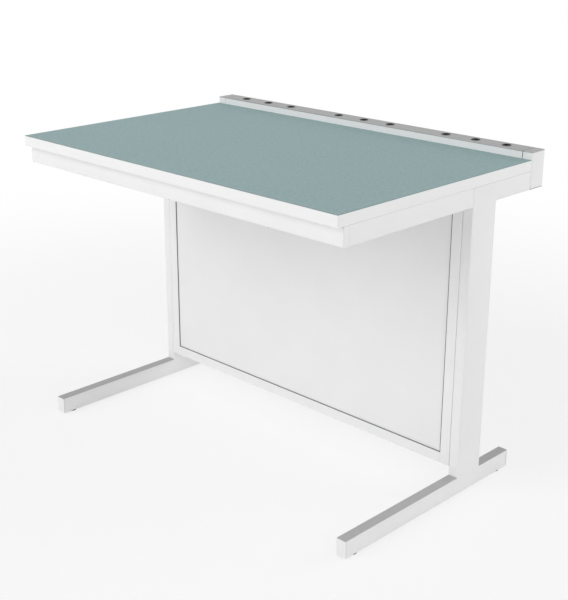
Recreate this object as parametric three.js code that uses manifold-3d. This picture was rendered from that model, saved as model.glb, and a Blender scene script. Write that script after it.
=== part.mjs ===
// Lab bench on two C-shaped leg frames, with a service duct along its rear edge.
// Millimetres, Z up, front towards -Y, origin on the floor under the middle of the overall box.
import * as THREE from 'three';
import { mergeVertices } from 'three/addons/utils/BufferGeometryUtils.js';
import Module from 'manifold-3d';

// Worktop
const WORKTOP_WIDTH = 1200;
const WORKTOP_DEPTH = 750;
const WORKTOP_THICKNESS = 30;
const WORKTOP_HEIGHT = 880; // working surface above the underside of the feet
const LAMINATE_THICKNESS = 1;
const BACKING_THICKNESS = 1;
const BAND_THICKNESS = 2;
const BAND_ROUND = 1;

// Steel tubes of the leg frames and the front rail
const LEG_WIDTH = 30; // across the bench: arms, posts, feet and duct stubs
const ARM_HEIGHT = 50;
const POST_DEPTH = 100;
const POST_SETBACK = 500; // from the worktop's front edge
const FOOT_HEIGHT = 50; // with its tread
const FOOT_LENGTH = 685;
const FOOT_SETBACK = 50;
const RAIL_DEPTH = 20;
const RAIL_SETBACK = 20;
const TUBE_WALL = 2;
const TUBE_BEND = 1; // inner corner radius

// Treads and end caps of the tubes
const TREAD_THICKNESS = 1.5;
const TREAD_MARGIN = 1;
const TREAD_ROUND = 1;
const CAP_FLANGE = 2;
const CAP_PLUG = 12;
const CAP_WALL = 1.5;
const CAP_FIT = 0.3;

// Levelling glides, screwed right in
const GLIDE_STAND = 3; // underside of the feet above the floor
const GLIDE_DIAMETER = 26;
const GLIDE_INSET = 40; // from each end of the foot
const GLIDE_FLOOR = 1.25; // under the head of the stem
const GLIDE_CHAMFER = 0.75;
const STEM_DIAMETER = 10;
const STEM_LENGTH = 36;
const STEM_CHAMFER = 1;
const HEAD_DIAMETER = 20;
const HEAD_THICKNESS = 1;
const NUT_ACROSS_FLATS = 17;
const NUT_HEIGHT = 8;
const THREAD_FIT = 0.3;

// Modesty panel between the posts
const PANEL_GROUND = 75; // underside of the feet to the frame
const FRAME_WIDTH = 30;
const FRAME_DEPTH = 30;
const FRAME_WALL = 2;
const GROOVE_DEPTH = 8;
const INFILL_THICKNESS = 10;
const INFILL_FIT = 0.5;

// Service duct behind the worktop
const DUCT_DEPTH = 60;
const DUCT_RISE = 20; // above the working surface
const DUCT_WALL = 2;
const DUCT_BEND = 2; // inner fold radius
const COVER_THICKNESS = 2;
const COVER_LIP = 12;
const COVER_FIT = 0.5;

// Outlets in the duct cover
const OUTLETS_PER_GROUP = 3;
const OUTLET_PITCH = 100;
const GROUP_PITCH = 400;
const BUSH_BORE = 16;
const BUSH_SLEEVE = 20;
const BUSH_FLANGE = 25;
const BUSH_RIM = 1.5; // height of the flange
const BUSH_LENGTH = 24; // below the flange
const BUSH_SNAP = 1; // ridge that holds the bush under the cover
const BUSH_FIT = 0.25;

// Paint and glue gap between pieces that meet
const SEAM = 0.25;

// Facets
const BEND_STEPS = 1;
const ROUND_STEPS = 20;

// Levels worked out from the sizes above
const sideX = WORKTOP_WIDTH / 2;
const innerX = sideX - LEG_WIDTH;
const frontY = -(WORKTOP_DEPTH + DUCT_DEPTH) / 2;
const worktopRearY = frontY + WORKTOP_DEPTH;
const ductFrontY = worktopRearY + SEAM;
const ductRearY = worktopRearY + DUCT_DEPTH;
const postFrontY = frontY + POST_SETBACK;
const footBaseZ = GLIDE_STAND;
const worktopTopZ = footBaseZ + WORKTOP_HEIGHT;
const worktopBaseZ = worktopTopZ - WORKTOP_THICKNESS;
const carrierTopZ = worktopBaseZ - SEAM;
const carrierBaseZ = worktopBaseZ - ARM_HEIGHT;
const ductTopZ = worktopTopZ + DUCT_RISE;

const powderCoat = { color: 0xeeeeee, roughness: 0.5, metalness: 0 };
const whitePlastic = { color: 0xebebeb, roughness: 0.45, metalness: 0 };
const greyPlastic = { color: 0xaaaaaa, roughness: 0.6, metalness: 0 };
const blackPlastic = { color: 0x161616, roughness: 0.45, metalness: 0 };
const greyLaminate = { color: 0x95aaab, roughness: 0.4, metalness: 0 };
const whiteMelamine = { color: 0xececec, roughness: 0.5, metalness: 0 };
const chipboard = { color: 0xb99a6b, roughness: 0.9, metalness: 0 };
const anodised = { color: 0xaaaaaa, roughness: 0.4, metalness: 0.6 };
const zincPlate = { color: 0xb8bcc0, roughness: 0.35, metalness: 1 };

// Which way the first axis of an upright section faces
const RIGHT = 0;
const REAR = Math.PI / 2;
const LEFT = Math.PI;
const FRONT = -Math.PI / 2;

const wasm = await Module();
wasm.setup();

function piece(name, geometry, finish, x, y, z) {
  const mesh = new THREE.Mesh(geometry, new THREE.MeshStandardMaterial(finish));
  mesh.name = name;
  mesh.position.set(x, y, z);
  return mesh;
}

// Stands a section up on its second axis, with its first axis facing one side.
function upright(mesh, side) {
  mesh.rotation.set(Math.PI / 2, side, 0);
  return mesh;
}

function solidOf(geometry) {
  const bare = new THREE.BufferGeometry();
  bare.setAttribute('position', geometry.getAttribute('position'));
  bare.setIndex(geometry.getIndex());
  const merged = mergeVertices(bare);
  const vertProperties = merged.getAttribute('position').array;
  const triVerts = new Uint32Array(merged.getIndex().array);
  return new wasm.Manifold(new wasm.Mesh({ numProp: 3, vertProperties, triVerts }));
}

function geometryOf(solid) {
  const { vertProperties, triVerts } = solid.getMesh();
  const geometry = new THREE.BufferGeometry();
  geometry.setAttribute('position', new THREE.BufferAttribute(vertProperties, 3));
  geometry.setIndex(new THREE.BufferAttribute(triVerts, 1));
  geometry.computeVertexNormals();
  return geometry;
}

function join(first, ...others) {
  return geometryOf(others.reduce((solid, other) => solid.add(solidOf(other)), solidOf(first)));
}

function cut(stock, cutters) {
  return geometryOf(cutters.reduce((solid, cutter) => solid.subtract(solidOf(cutter)), solidOf(stock)));
}

function roundedRectangle(path, width, height, round) {
  const x = width / 2 - round;
  const y = height / 2 - round;
  const quarter = Math.PI / 2;
  path.absarc(x, -y, round, -quarter, 0);
  path.absarc(x, y, round, 0, quarter);
  path.absarc(-x, y, round, quarter, 2 * quarter);
  path.absarc(-x, -y, round, 2 * quarter, 3 * quarter);
  return path;
}

function extrude(shape, length) {
  const options = { depth: length, bevelEnabled: false, curveSegments: BEND_STEPS };
  return new THREE.ExtrudeGeometry(shape, options).translate(0, 0, -length / 2);
}

function turned(points) {
  const profile = points.map(([radius, height]) => new THREE.Vector2(radius, height));
  return new THREE.LatheGeometry(profile, ROUND_STEPS);
}

function drill(diameter, depth, x, y, z) {
  const radius = diameter / 2;
  return new THREE.CylinderGeometry(radius, radius, depth, ROUND_STEPS).translate(x, y, z);
}

function tube(width, height, length) {
  const shape = roundedRectangle(new THREE.Shape(), width, height, TUBE_BEND + TUBE_WALL);
  const hollow = new THREE.Path();
  shape.holes.push(roundedRectangle(hollow, width - 2 * TUBE_WALL, height - 2 * TUBE_WALL, TUBE_BEND));
  return extrude(shape, length);
}

// Flange outside the tube's end, below zero, and a hollow plug inside it, above zero.
function endCap(width, height) {
  const flangeShape = roundedRectangle(new THREE.Shape(), width, height, TUBE_BEND + TUBE_WALL);
  const flange = extrude(flangeShape, CAP_FLANGE).translate(0, 0, -CAP_FLANGE / 2);
  const plugWidth = width - 2 * (TUBE_WALL + CAP_FIT);
  const plugHeight = height - 2 * (TUBE_WALL + CAP_FIT);
  const plugShape = roundedRectangle(new THREE.Shape(), plugWidth, plugHeight, TUBE_BEND);
  const hollow = new THREE.Path();
  roundedRectangle(hollow, plugWidth - 2 * CAP_WALL, plugHeight - 2 * CAP_WALL, TUBE_BEND);
  plugShape.holes.push(hollow);
  const rooted = CAP_FLANGE / 2;
  const plug = extrude(plugShape, CAP_PLUG + rooted).translate(0, 0, (CAP_PLUG - rooted) / 2);
  return join(flange, plug);
}

// Edge band section: its first axis points out of the worktop.
function bandGeometry(height, length) {
  const top = height / 2;
  const shape = new THREE.Shape();
  shape.moveTo(0, -top);
  shape.absarc(BAND_THICKNESS - BAND_ROUND, -top + BAND_ROUND, BAND_ROUND, -Math.PI / 2, 0);
  shape.lineTo(BAND_THICKNESS, top);
  shape.lineTo(0, top);
  return extrude(shape, length);
}

function worktop() {
  const group = new THREE.Group();
  const middleY = (frontY + worktopRearY) / 2;
  const coreWidth = WORKTOP_WIDTH - 2 * (BAND_THICKNESS + SEAM);
  const coreDepth = WORKTOP_DEPTH - 2 * (BAND_THICKNESS + SEAM);
  const coreTopZ = worktopTopZ - LAMINATE_THICKNESS - SEAM;
  const coreBaseZ = worktopBaseZ + BACKING_THICKNESS + SEAM;
  const laminate = new THREE.BoxGeometry(WORKTOP_WIDTH, WORKTOP_DEPTH, LAMINATE_THICKNESS);
  const core = new THREE.BoxGeometry(coreWidth, coreDepth, coreTopZ - coreBaseZ);
  const backing = new THREE.BoxGeometry(coreWidth, coreDepth, BACKING_THICKNESS);
  const laminateZ = worktopTopZ - LAMINATE_THICKNESS / 2;
  const backingZ = worktopBaseZ + BACKING_THICKNESS / 2;
  group.add(
    piece('worktop_laminate', laminate, greyLaminate, 0, middleY, laminateZ),
    piece('worktop_core', core, chipboard, 0, middleY, (coreTopZ + coreBaseZ) / 2),
    piece('worktop_backing', backing, whiteMelamine, 0, middleY, backingZ),
  );

  const bandHeight = coreTopZ - worktopBaseZ;
  const bandZ = (coreTopZ + worktopBaseZ) / 2;
  const bandX = sideX - BAND_THICKNESS;
  const long = bandGeometry(bandHeight, WORKTOP_WIDTH);
  const short = bandGeometry(bandHeight, coreDepth);
  group.add(
    upright(piece('edge_band_front', long, powderCoat, 0, frontY + BAND_THICKNESS, bandZ), FRONT),
    upright(piece('edge_band_rear', long, powderCoat, 0, worktopRearY - BAND_THICKNESS, bandZ), REAR),
    upright(piece('edge_band_left', short, powderCoat, -bandX, middleY, bandZ), LEFT),
    upright(piece('edge_band_right', short, powderCoat, bandX, middleY, bandZ), RIGHT),
  );
  return group;
}

function frontRail() {
  const group = new THREE.Group();
  const height = carrierTopZ - carrierBaseZ;
  const y = frontY + RAIL_SETBACK + RAIL_DEPTH / 2;
  const z = (carrierTopZ + carrierBaseZ) / 2;
  const length = WORKTOP_WIDTH - 2 * (CAP_FLANGE + SEAM);
  const capX = sideX - CAP_FLANGE;
  const cap = endCap(RAIL_DEPTH, height);
  group.add(
    upright(piece('front_rail', tube(RAIL_DEPTH, height, length), powderCoat, 0, y, z), REAR),
    upright(piece('front_rail_cap_left', cap, whitePlastic, -capX, y, z), REAR),
    upright(piece('front_rail_cap_right', cap, whitePlastic, capX, y, z), FRONT),
  );
  return group;
}

function levellingGlide(place, x, y) {
  const padRadius = GLIDE_DIAMETER / 2;
  const padTop = GLIDE_STAND - SEAM;
  const headRadius = HEAD_DIAMETER / 2;
  const recessRadius = headRadius + THREAD_FIT;
  const pad = turned([
    [0, 0],
    [padRadius - GLIDE_CHAMFER, 0],
    [padRadius, GLIDE_CHAMFER],
    [padRadius, padTop],
    [recessRadius, padTop],
    [recessRadius, GLIDE_FLOOR],
    [0, GLIDE_FLOOR],
  ]);

  const stemRadius = STEM_DIAMETER / 2;
  const stem = turned([
    [0, 0],
    [headRadius, 0],
    [headRadius, HEAD_THICKNESS],
    [stemRadius, HEAD_THICKNESS],
    [stemRadius, HEAD_THICKNESS + STEM_LENGTH - STEM_CHAMFER],
    [stemRadius - STEM_CHAMFER, HEAD_THICKNESS + STEM_LENGTH],
    [0, HEAD_THICKNESS + STEM_LENGTH],
  ]);

  const corners = 6;
  const nutRadius = NUT_ACROSS_FLATS / 2 / Math.cos(Math.PI / corners);
  const nut = new THREE.CylinderGeometry(nutRadius, nutRadius, NUT_HEIGHT, corners);
  const thread = drill(STEM_DIAMETER + 2 * THREAD_FIT, 2 * NUT_HEIGHT, 0, 0, 0);
  const nutZ = footBaseZ + TUBE_WALL + SEAM + NUT_HEIGHT / 2;
  return [
    upright(piece('glide_pad_' + place, pad, blackPlastic, x, y, 0), RIGHT),
    upright(piece('glide_stem_' + place, stem, zincPlate, x, y, GLIDE_FLOOR + SEAM), RIGHT),
    upright(piece('glide_nut_' + place, cut(nut, [thread]), zincPlate, x, y, nutZ), RIGHT),
  ];
}

// Strip on top of the foot, rounded along its upper edges.
function treadGeometry(length) {
  const x = LEG_WIDTH / 2 - TREAD_MARGIN;
  const shape = new THREE.Shape();
  shape.moveTo(-x, 0);
  shape.lineTo(x, 0);
  shape.absarc(x - TREAD_ROUND, TREAD_THICKNESS - TREAD_ROUND, TREAD_ROUND, 0, Math.PI / 2);
  shape.absarc(-x + TREAD_ROUND, TREAD_THICKNESS - TREAD_ROUND, TREAD_ROUND, Math.PI / 2, Math.PI);
  return extrude(shape, length);
}

function tread(name, x, fromY, toY) {
  const z = footBaseZ + FOOT_HEIGHT - TREAD_THICKNESS;
  return upright(piece(name, treadGeometry(toY - fromY), greyPlastic, x, (fromY + toY) / 2, z), RIGHT);
}

function foot(side, x) {
  const group = new THREE.Group();
  const fromY = frontY + FOOT_SETBACK;
  const toY = fromY + FOOT_LENGTH;
  const middleY = (fromY + toY) / 2;
  const height = FOOT_HEIGHT - TREAD_THICKNESS - SEAM;
  const z = footBaseZ + height / 2;
  const length = FOOT_LENGTH - 2 * (CAP_FLANGE + SEAM);
  const reach = FOOT_LENGTH / 2 - GLIDE_INSET;
  const stemHole = STEM_DIAMETER + 2 * THREAD_FIT;
  const holes = [-reach, reach].map((along) => drill(stemHole, 2 * TUBE_WALL, 0, -height / 2, along));
  const beam = cut(tube(LEG_WIDTH, height, length), holes);
  const cap = endCap(LEG_WIDTH, height);
  group.add(
    upright(piece('foot_beam_' + side, beam, powderCoat, x, middleY, z), RIGHT),
    upright(piece('foot_cap_front_' + side, cap, whitePlastic, x, fromY + CAP_FLANGE, z), LEFT),
    upright(piece('foot_cap_rear_' + side, cap, whitePlastic, x, toY - CAP_FLANGE, z), RIGHT),
    tread('foot_tread_front_' + side, x, fromY, postFrontY - SEAM),
    tread('foot_tread_rear_' + side, x, postFrontY + POST_DEPTH + SEAM, toY),
    ...levellingGlide('front_' + side, x, middleY - reach),
    ...levellingGlide('rear_' + side, x, middleY + reach),
  );
  return group;
}

function arm(name, x, fromY, toY) {
  const height = carrierTopZ - carrierBaseZ;
  const geometry = tube(LEG_WIDTH, height, toY - fromY);
  const z = (carrierTopZ + carrierBaseZ) / 2;
  return upright(piece(name, geometry, powderCoat, x, (fromY + toY) / 2, z), RIGHT);
}

function legFrame(side, x) {
  const group = new THREE.Group();
  const railRearY = frontY + RAIL_SETBACK + RAIL_DEPTH;
  const postRearY = postFrontY + POST_DEPTH;
  const postBaseZ = footBaseZ + FOOT_HEIGHT - TREAD_THICKNESS;
  const post = tube(LEG_WIDTH, POST_DEPTH, carrierTopZ - postBaseZ);
  const postY = (postFrontY + postRearY) / 2;
  group.add(
    piece('post_' + side, post, powderCoat, x, postY, (carrierTopZ + postBaseZ) / 2),
    arm('front_arm_' + side, x, railRearY + SEAM, postFrontY - SEAM),
    arm('rear_arm_' + side, x, postRearY + SEAM, ductFrontY - SEAM),
    foot(side, x),
  );

  const stubDepth = ductRearY - ductFrontY;
  const stubY = (ductFrontY + ductRearY) / 2;
  const stubHeight = ductTopZ - carrierBaseZ - 2 * (CAP_FLANGE + SEAM);
  const stub = tube(LEG_WIDTH, stubDepth, stubHeight);
  const cap = endCap(LEG_WIDTH, stubDepth);
  const topCap = piece('stub_cap_top_' + side, cap, greyPlastic, x, stubY, ductTopZ - CAP_FLANGE);
  topCap.rotation.x = Math.PI;
  group.add(
    piece('duct_stub_' + side, stub, powderCoat, x, stubY, (ductTopZ + carrierBaseZ) / 2),
    piece('stub_cap_bottom_' + side, cap, greyPlastic, x, stubY, carrierBaseZ + CAP_FLANGE),
    topCap,
  );
  return group;
}

// Hollow frame section, grooved for the infill. The point function says how the width, counted from
// the outer side, and the depth, counted from the front, become the section's two axes. The chamber
// runs against the outline, so that a mirrored section stays closed.
function frameSection(point) {
  const groove = GROOVE_DEPTH;
  const grooveBack = FRAME_WALL + INFILL_THICKNESS + 2 * INFILL_FIT;
  const ledge = FRAME_WIDTH - groove - FRAME_WALL;
  const outline = [
    [0, 0],
    [FRAME_WIDTH, 0],
    [FRAME_WIDTH, FRAME_WALL],
    [FRAME_WIDTH - groove, FRAME_WALL],
    [FRAME_WIDTH - groove, grooveBack],
    [FRAME_WIDTH, grooveBack],
    [FRAME_WIDTH, FRAME_DEPTH],
    [0, FRAME_DEPTH],
  ];
  const chamber = [
    [FRAME_WALL, FRAME_DEPTH - FRAME_WALL],
    [FRAME_WIDTH - FRAME_WALL, FRAME_DEPTH - FRAME_WALL],
    [FRAME_WIDTH - FRAME_WALL, grooveBack + FRAME_WALL],
    [ledge, grooveBack + FRAME_WALL],
    [ledge, FRAME_WALL],
    [FRAME_WALL, FRAME_WALL],
  ];
  const shape = new THREE.Shape(outline.map(([width, depth]) => point(width, depth)));
  shape.holes.push(new THREE.Path(chamber.map(([width, depth]) => point(width, depth))));
  return shape;
}

function modestyPanel() {
  const group = new THREE.Group();
  const outerX = innerX - SEAM;
  const baseZ = footBaseZ + PANEL_GROUND;
  const height = carrierTopZ - baseZ;
  const middleZ = (carrierTopZ + baseZ) / 2;
  const leftStile = extrude(frameSection((width, depth) => new THREE.Vector2(width, depth)), height);
  const rightStile = extrude(frameSection((width, depth) => new THREE.Vector2(-width, depth)), height);
  group.add(
    piece('panel_stile_left', leftStile, powderCoat, -outerX, postFrontY, middleZ),
    piece('panel_stile_right', rightStile, powderCoat, outerX, postFrontY, middleZ),
  );

  const railLength = 2 * (outerX - FRAME_WIDTH - SEAM);
  const lowerRail = extrude(frameSection((width, depth) => new THREE.Vector2(depth, width)), railLength);
  const upperRail = extrude(frameSection((width, depth) => new THREE.Vector2(depth, -width)), railLength);
  group.add(
    upright(piece('panel_rail_bottom', lowerRail, powderCoat, 0, postFrontY, baseZ), REAR),
    upright(piece('panel_rail_top', upperRail, powderCoat, 0, postFrontY, carrierTopZ), REAR),
  );

  const margin = FRAME_WIDTH - GROOVE_DEPTH + INFILL_FIT;
  const infillY = postFrontY + FRAME_WALL + INFILL_FIT + INFILL_THICKNESS / 2;
  const infill = new THREE.BoxGeometry(2 * (outerX - margin), INFILL_THICKNESS, height - 2 * margin);
  group.add(piece('panel_infill', infill, whiteMelamine, 0, infillY, middleZ));
  return group;
}

// Folded channel, open at the top, with a plate across each end below the lips of the cover.
function troughGeometry(depth, height, length) {
  const x = depth / 2;
  const y = height / 2;
  const outer = DUCT_BEND + DUCT_WALL;
  const foldX = x - outer;
  const foldY = outer - y;
  const quarter = Math.PI / 2;
  const shape = new THREE.Shape();
  shape.moveTo(-x, y);
  shape.absarc(-foldX, foldY, outer, 2 * quarter, 3 * quarter);
  shape.absarc(foldX, foldY, outer, 3 * quarter, 4 * quarter);
  shape.lineTo(x, y);
  shape.lineTo(x - DUCT_WALL, y);
  shape.absarc(foldX, foldY, DUCT_BEND, 0, -quarter, true);
  shape.absarc(-foldX, foldY, DUCT_BEND, -quarter, -2 * quarter, true);
  shape.lineTo(-x + DUCT_WALL, y);

  const plateDepth = depth - DUCT_WALL;
  const plateHeight = height - DUCT_WALL / 2 - COVER_LIP - COVER_FIT;
  const plateY = -y + DUCT_WALL / 2 + plateHeight / 2;
  const plateZ = (length - DUCT_WALL) / 2;
  const plates = [-plateZ, plateZ].map((z) =>
    new THREE.BoxGeometry(plateDepth, plateHeight, DUCT_WALL).translate(0, plateY, z),
  );
  return join(extrude(shape, length), ...plates);
}

// Cover section, its top at zero: a plate with two lips that drop inside the channel's walls.
function coverGeometry(depth, length, outlets) {
  const x = depth / 2;
  const lipOuter = x - DUCT_WALL - COVER_FIT;
  const lipInner = lipOuter - COVER_THICKNESS;
  const lipEnd = -COVER_THICKNESS - COVER_LIP;
  const half = [
    [x, 0],
    [x, -COVER_THICKNESS],
    [lipOuter, -COVER_THICKNESS],
    [lipOuter, lipEnd],
    [lipInner, lipEnd],
    [lipInner, -COVER_THICKNESS],
  ];
  const mirrored = half.map(([across, up]) => [-across, up]).reverse();
  const shape = new THREE.Shape([...half, ...mirrored].map(([across, up]) => new THREE.Vector2(across, up)));
  const hole = BUSH_SLEEVE + 2 * BUSH_FIT;
  const holes = outlets.map((along) => drill(hole, 2 * COVER_THICKNESS, 0, -COVER_THICKNESS / 2, along));
  return cut(extrude(shape, length), holes);
}

// Ring section of an outlet bush, from the cover's top: sleeve, snap ridge, flange and bore.
function bushGeometry() {
  const bore = BUSH_BORE / 2;
  const sleeve = BUSH_SLEEVE / 2;
  const flange = BUSH_FLANGE / 2;
  const ridgeTop = -COVER_THICKNESS - SEAM;
  const ridge = sleeve + BUSH_FIT + BUSH_SNAP;
  return turned([
    [bore, -BUSH_LENGTH],
    [sleeve, -BUSH_LENGTH],
    [sleeve, ridgeTop - 2 * BUSH_SNAP],
    [ridge, ridgeTop],
    [sleeve, ridgeTop],
    [sleeve, SEAM],
    [flange, SEAM],
    [flange, BUSH_RIM / 2],
    [flange - BUSH_RIM / 2, BUSH_RIM],
    [bore + BUSH_RIM / 2, BUSH_RIM],
    [bore, BUSH_RIM / 2],
    [bore, -BUSH_LENGTH],
  ]);
}

// Groups of outlets, as many as the cover is long enough for.
function outletPositions(length) {
  const groupSpan = (OUTLETS_PER_GROUP - 1) * OUTLET_PITCH + BUSH_FLANGE;
  const groups = Math.floor((length - groupSpan) / GROUP_PITCH) + 1;
  const positions = [];
  for (let group = 0; group < groups; group += 1) {
    const groupX = (group - (groups - 1) / 2) * GROUP_PITCH;
    for (let outlet = 0; outlet < OUTLETS_PER_GROUP; outlet += 1) {
      positions.push(groupX + (outlet - (OUTLETS_PER_GROUP - 1) / 2) * OUTLET_PITCH);
    }
  }
  return positions;
}

function serviceDuct() {
  const group = new THREE.Group();
  const y = (ductFrontY + ductRearY) / 2;
  const depth = ductRearY - ductFrontY;
  const troughTopZ = ductTopZ - COVER_THICKNESS - SEAM;
  const trough = troughGeometry(depth, troughTopZ - carrierBaseZ, 2 * (innerX - SEAM));
  const coverLength = 2 * (innerX - COVER_FIT);
  const outlets = outletPositions(coverLength);
  const cover = coverGeometry(depth, coverLength, outlets);
  group.add(
    upright(piece('duct_trough', trough, powderCoat, 0, y, (troughTopZ + carrierBaseZ) / 2), REAR),
    upright(piece('duct_cover', cover, anodised, 0, y, ductTopZ), REAR),
  );
  outlets.forEach((x, index) => {
    const name = 'outlet_bush_' + (index + 1);
    group.add(upright(piece(name, bushGeometry(), blackPlastic, x, y, ductTopZ), RIGHT));
  });
  return group;
}

const legX = sideX - LEG_WIDTH / 2;
const bench = new THREE.Group();
bench.name = 'lab_bench';
bench.add(
  worktop(),
  frontRail(),
  legFrame('left', -legX),
  legFrame('right', legX),
  modestyPanel(),
  serviceDuct(),
);

export default bench;
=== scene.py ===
import bmesh
import bpy
import math
import numpy as np
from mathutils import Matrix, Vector


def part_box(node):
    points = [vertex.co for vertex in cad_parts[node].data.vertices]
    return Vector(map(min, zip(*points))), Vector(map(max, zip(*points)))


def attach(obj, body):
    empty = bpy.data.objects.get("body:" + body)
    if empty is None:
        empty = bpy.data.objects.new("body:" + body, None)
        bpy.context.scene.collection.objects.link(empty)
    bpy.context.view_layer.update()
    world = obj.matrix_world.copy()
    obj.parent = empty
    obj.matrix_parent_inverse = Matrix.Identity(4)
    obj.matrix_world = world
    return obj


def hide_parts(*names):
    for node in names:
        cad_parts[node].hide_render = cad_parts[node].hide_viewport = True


# a lab bench with a service duct along its rear edge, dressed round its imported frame; lengths are in metres

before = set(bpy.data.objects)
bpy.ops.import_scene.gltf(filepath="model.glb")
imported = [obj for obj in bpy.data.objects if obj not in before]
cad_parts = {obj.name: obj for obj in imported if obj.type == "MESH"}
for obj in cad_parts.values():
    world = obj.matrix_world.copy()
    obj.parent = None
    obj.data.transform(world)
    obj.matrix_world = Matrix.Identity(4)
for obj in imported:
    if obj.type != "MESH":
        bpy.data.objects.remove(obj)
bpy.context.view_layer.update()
mm = 0.001
root = "bench_frame"  # the body that stands still
sides = ("left", "right")
footEnds = ("front", "rear")
print("frame loaded,", len(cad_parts), "nodes")


# colours and shader nodes

noiseFacts = dict(low=0.3, high=0.7, bumpShare=0.25)  # a noise's usual range, and its bump's depth per grain


def toLinear(hexColour):
    # the sRGB curve undone for red, green and blue: a straight foot, and above it a power of 2.4
    srgb = np.array([int(hexColour[i:i + 2], 16) for i in (1, 3, 5)]) / 255
    linear = np.where(srgb <= 0.04045, srgb / 12.92, ((srgb + 0.055) / 1.055) ** 2.4)
    return (*linear.tolist(), 1.0)


def addNode(tree, kind, inputs=None, **settings):
    # one node with its settings; an input is a value, or the output that is linked to it
    node = tree.nodes.new(kind)
    for name, value in settings.items():
        setattr(node, name, value)
    for socket, value in (inputs or {}).items():
        if isinstance(value, bpy.types.NodeSocket):
            tree.links.new(value, node.inputs[socket])
        else:
            node.inputs[socket].default_value = value
    return node


def perMetre(period):
    # texture scale for a feature of that many millimetres: one over its length in metres
    return 1 / (period * mm)


def newMaterial(name, fixed):
    # a shader with its fixed sockets set, and the Object coordinates that its patterns read
    material = bpy.data.materials.new(name)
    material.use_nodes = True
    tree = material.node_tree
    shader = tree.nodes["Principled BSDF"]
    for socket, value in fixed.items():
        shader.inputs[socket].default_value = value
    place = addNode(tree, "ShaderNodeTexCoord").outputs["Object"]
    return material, tree, shader, place


def finishSurface(tree, shader, pattern, rough, relief, depth):
    # the pattern leads the roughness from its first value to its second, and lifts the surface as a bump
    gloss = addNode(tree, "ShaderNodeMapRange", {"Value": pattern, "From Min": noiseFacts["low"],
                                                 "From Max": noiseFacts["high"], "To Min": rough[0],
                                                 "To Max": rough[1]})
    bump = addNode(tree, "ShaderNodeBump", {"Height": pattern, "Strength": relief, "Distance": depth})
    tree.links.new(gloss.outputs["Result"], shader.inputs["Roughness"])
    tree.links.new(bump.outputs["Normal"], shader.inputs["Normal"])


def mottled(name, tones, cloud, grain, relief, rough, fixed):
    # two tones drift into each other over cloud millimetres, gloss and bump follow a grain in millimetres
    material, tree, shader, place = newMaterial(name, fixed)
    drift = addNode(tree, "ShaderNodeTexNoise", {"Vector": place, "Scale": perMetre(cloud), "Detail": 3.0})
    speck = addNode(tree, "ShaderNodeTexNoise", {"Vector": place, "Scale": perMetre(grain), "Detail": 2.0})
    tone = addNode(tree, "ShaderNodeMix", {0: drift.outputs["Fac"], 6: toLinear(tones[0]),
                                           7: toLinear(tones[1])}, data_type="RGBA")
    tree.links.new(tone.outputs[2], shader.inputs["Base Color"])
    finishSurface(tree, shader, speck.outputs["Fac"], rough, relief, grain * mm * noiseFacts["bumpShare"])
    return material


def whitePowderCoat():
    # polyester powder sprayed on steel and baked: satin white with a fine orange peel.
    # The peel is about 1.5 mm, drawn at 3.5 mm so that it shows
    return mottled("powderCoatSatinWhite", ("#f0f0f0", "#ebebeb"), cloud=90, grain=3.5, relief=0.5,
                   rough=(0.4, 0.5), fixed={"IOR": 1.5, "Specular IOR Level": 0.35})


def whitePolypropylene():
    # moulded caps: the same white as the paint, a little glossier and smoother.
    # The skin of the mould is finer than 0.5 mm, drawn at 2 mm
    return mottled("polypropyleneWhite", ("#efefef", "#ebebeb"), cloud=30, grain=2, relief=0.08,
                   rough=(0.4, 0.48), fixed={"IOR": 1.49, "Specular IOR Level": 0.35})


def whiteEdgeBand():
    # extruded ABS band, glued and trimmed: smooth, with a faint sheen and slow ripples of 6 mm
    return mottled("absEdgeBandWhite", ("#f1f1f1", "#ededed"), cloud=120, grain=6, relief=0.08,
                   rough=(0.38, 0.46), fixed={"IOR": 1.53, "Specular IOR Level": 0.35})


def whiteMelamine():
    # melamine paper pressed on board with a pearl plate: white, even, a soft grain of about 3 mm
    return mottled("melaminePearlWhite", ("#efefef", "#eaeaea"), cloud=140, grain=3, relief=0.16,
                   rough=(0.46, 0.56), fixed={"IOR": 1.5, "Specular IOR Level": 0.35})


def greyVinylPaintedShade():
    # extruded soft PVC, dull, in a flat mid grey that is painted shade, the shade of a white top. Its grain
    # is about 0.5 mm, drawn at 1.5 mm
    return mottled("vinylGreyPaintedShade", ("#b5b5b5", "#aeaeae"), cloud=25, grain=1.5, relief=0.2,
                   rough=(0.5, 0.64), fixed={"IOR": 1.53})


def greySeal():
    # extruded synthetic rubber, the gasket round the board: dark grey, dull, its fine grain drawn at 1 mm
    return mottled("sealRubberGrey", ("#77797a", "#6c6e6f"), cloud=20, grain=1, relief=0.08,
                   rough=(0.55, 0.68), fixed={"IOR": 1.52})


def blackNylon():
    # moulded polyamide: near black, silky. The eroded mould finish is about 0.1 mm, drawn at 1 mm
    return mottled("nylonBlack", ("#19191a", "#121212"), cloud=12, grain=1, relief=0.1,
                   rough=(0.46, 0.58), fixed={"IOR": 1.53, "Specular IOR Level": 0.3})


def zincPlated():
    # bright zinc on steel: pale bluish metal with cloudy patches of about 6 mm
    return mottled("zincPlatedSteel", ("#c3c6c9", "#aeb2b6"), cloud=6, grain=1.2, relief=0.05,
                   rough=(0.26, 0.4), fixed={"Metallic": 1.0})


def phenolicCore():
    # kraft paper and phenolic resin, seen only as the laminate's thin dark edge, its fibres drawn at 1 mm
    return mottled("phenolicKraftEdge", ("#4b4640", "#3a3530"), cloud=8, grain=1, relief=0.05,
                   rough=(0.5, 0.6), fixed={"IOR": 1.6})


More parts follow.
